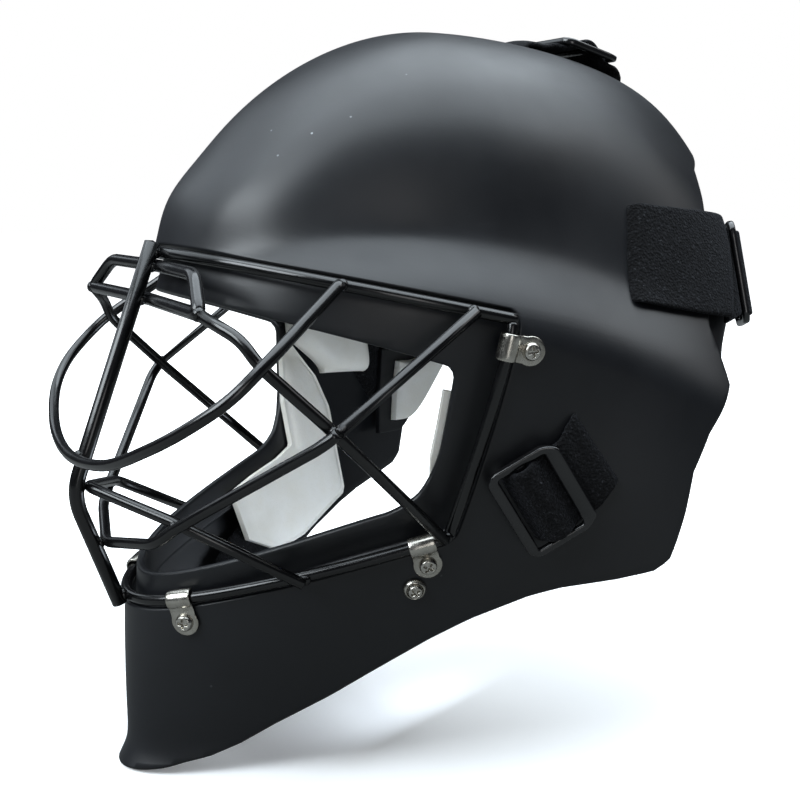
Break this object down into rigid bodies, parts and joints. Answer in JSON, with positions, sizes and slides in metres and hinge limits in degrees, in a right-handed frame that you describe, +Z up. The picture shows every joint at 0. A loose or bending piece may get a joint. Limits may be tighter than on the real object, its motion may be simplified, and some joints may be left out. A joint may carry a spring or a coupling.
{
  "type": "goalkeeper helmet",
  "caption": "Field hockey goalkeeper helmet: moulded shell with lipped chin, welded wire cage held by sheet clips, foam liner, strapped back plate and chin cup.",
  "frame": {"origin": "centre of the bounding box in plan, at the lowest point of the chin lip", "axes": "+X is the wearer's left, +Y points to the back of the head, +Z is up in the wearing attitude"},
  "size_m": [0.2334, 0.2804, 0.2919],
  "materials": {
    "shell_plastic": "matt moulded",
    "cage_coat": "gloss powder coat",
    "clip_steel": "nickel plated",
    "screw_steel": "nickel plated",
    "foam": "closed-cell foam",
    "webbing": "elastic webbing",
    "buckle_plastic": "gloss moulded",
    "plate_plastic": "matt moulded",
    "cup_plastic": "matt moulded"
  },
  "bodies": {
    "shell_assembly": {"shell": "shell_plastic", "brow_bar": "cage_coat", "side_bar_left": "cage_coat", "side_bar_right": "cage_coat", "jaw_bar": "cage_coat", "centre_bar": "cage_coat", "visor_loop": "cage_coat", "upper_u_bar": "cage_coat", "lower_u_bar": "cage_coat", "cat_eye_bar_left": "cage_coat", "cat_eye_bar_right": "cage_coat", "v_bar": "cage_coat", "cage_clips": "clip_steel", "clip_screws": "screw_steel", "clip_nuts": "screw_steel", "strap_screws": "screw_steel", "cup_washers": "screw_steel", "brow_pad": "foam", "crown_pad": "foam", "temple_pad_left": "foam", "temple_pad_right": "foam", "jaw_pad_left": "foam", "jaw_pad_right": "foam", "top_strap": "webbing", "upper_strap_left": "webbing", "upper_strap_right": "webbing", "lower_strap_left": "webbing", "lower_strap_right": "webbing"},
    "back_plate_assembly": {"back_plate": "plate_plastic", "back_pad": "foam", "upper_buckle_left": "buckle_plastic", "upper_buckle_right": "buckle_plastic"},
    "chin_piece": {"chin_strap": "webbing", "chin_cup": "cup_plastic"},
    "top_slider": {"top_buckle": "buckle_plastic"},
    "left_slider": {"lower_buckle_left": "buckle_plastic"},
    "right_slider": {"lower_buckle_right": "buckle_plastic"}
  },
  "joints": [
    {"name": "back_plate_tilt", "type": "hinge", "parent": "shell_assembly", "child": "back_plate_assembly", "pos_m": [0, 0.134, 0.2505], "axis": [1, 0, 0], "range_deg": [0, 14], "stiffness_Nm_per_rad": 0.5, "springref_deg": -34.38, "deforming": ["top_strap", "upper_strap_left", "upper_strap_right"]},
    {"name": "chin_cup_swing", "type": "hinge", "parent": "shell_assembly", "child": "chin_piece", "pos_m": [0, -0.02836, 0.07976], "axis": [1, 0, 0], "range_deg": [-25, 25], "deforming": ["chin_strap"]},
    {"name": "top_buckle_slide", "type": "slide", "parent": "shell_assembly", "child": "top_slider", "axis": [0, 0.9646, -0.2638], "range_m": [-0.004, 0.004], "deforming": ["top_strap"]},
    {"name": "left_buckle_slide", "type": "slide", "parent": "shell_assembly", "child": "left_slider", "axis": [0.356, 0.7793, 0.5158], "range_m": [-0.003, 0.003], "deforming": ["lower_strap_left"]},
    {"name": "right_buckle_slide", "type": "slide", "parent": "shell_assembly", "child": "right_slider", "axis": [-0.356, 0.7793, 0.5158], "range_m": [-0.003, 0.003], "deforming": ["lower_strap_right"]}
  ]
}
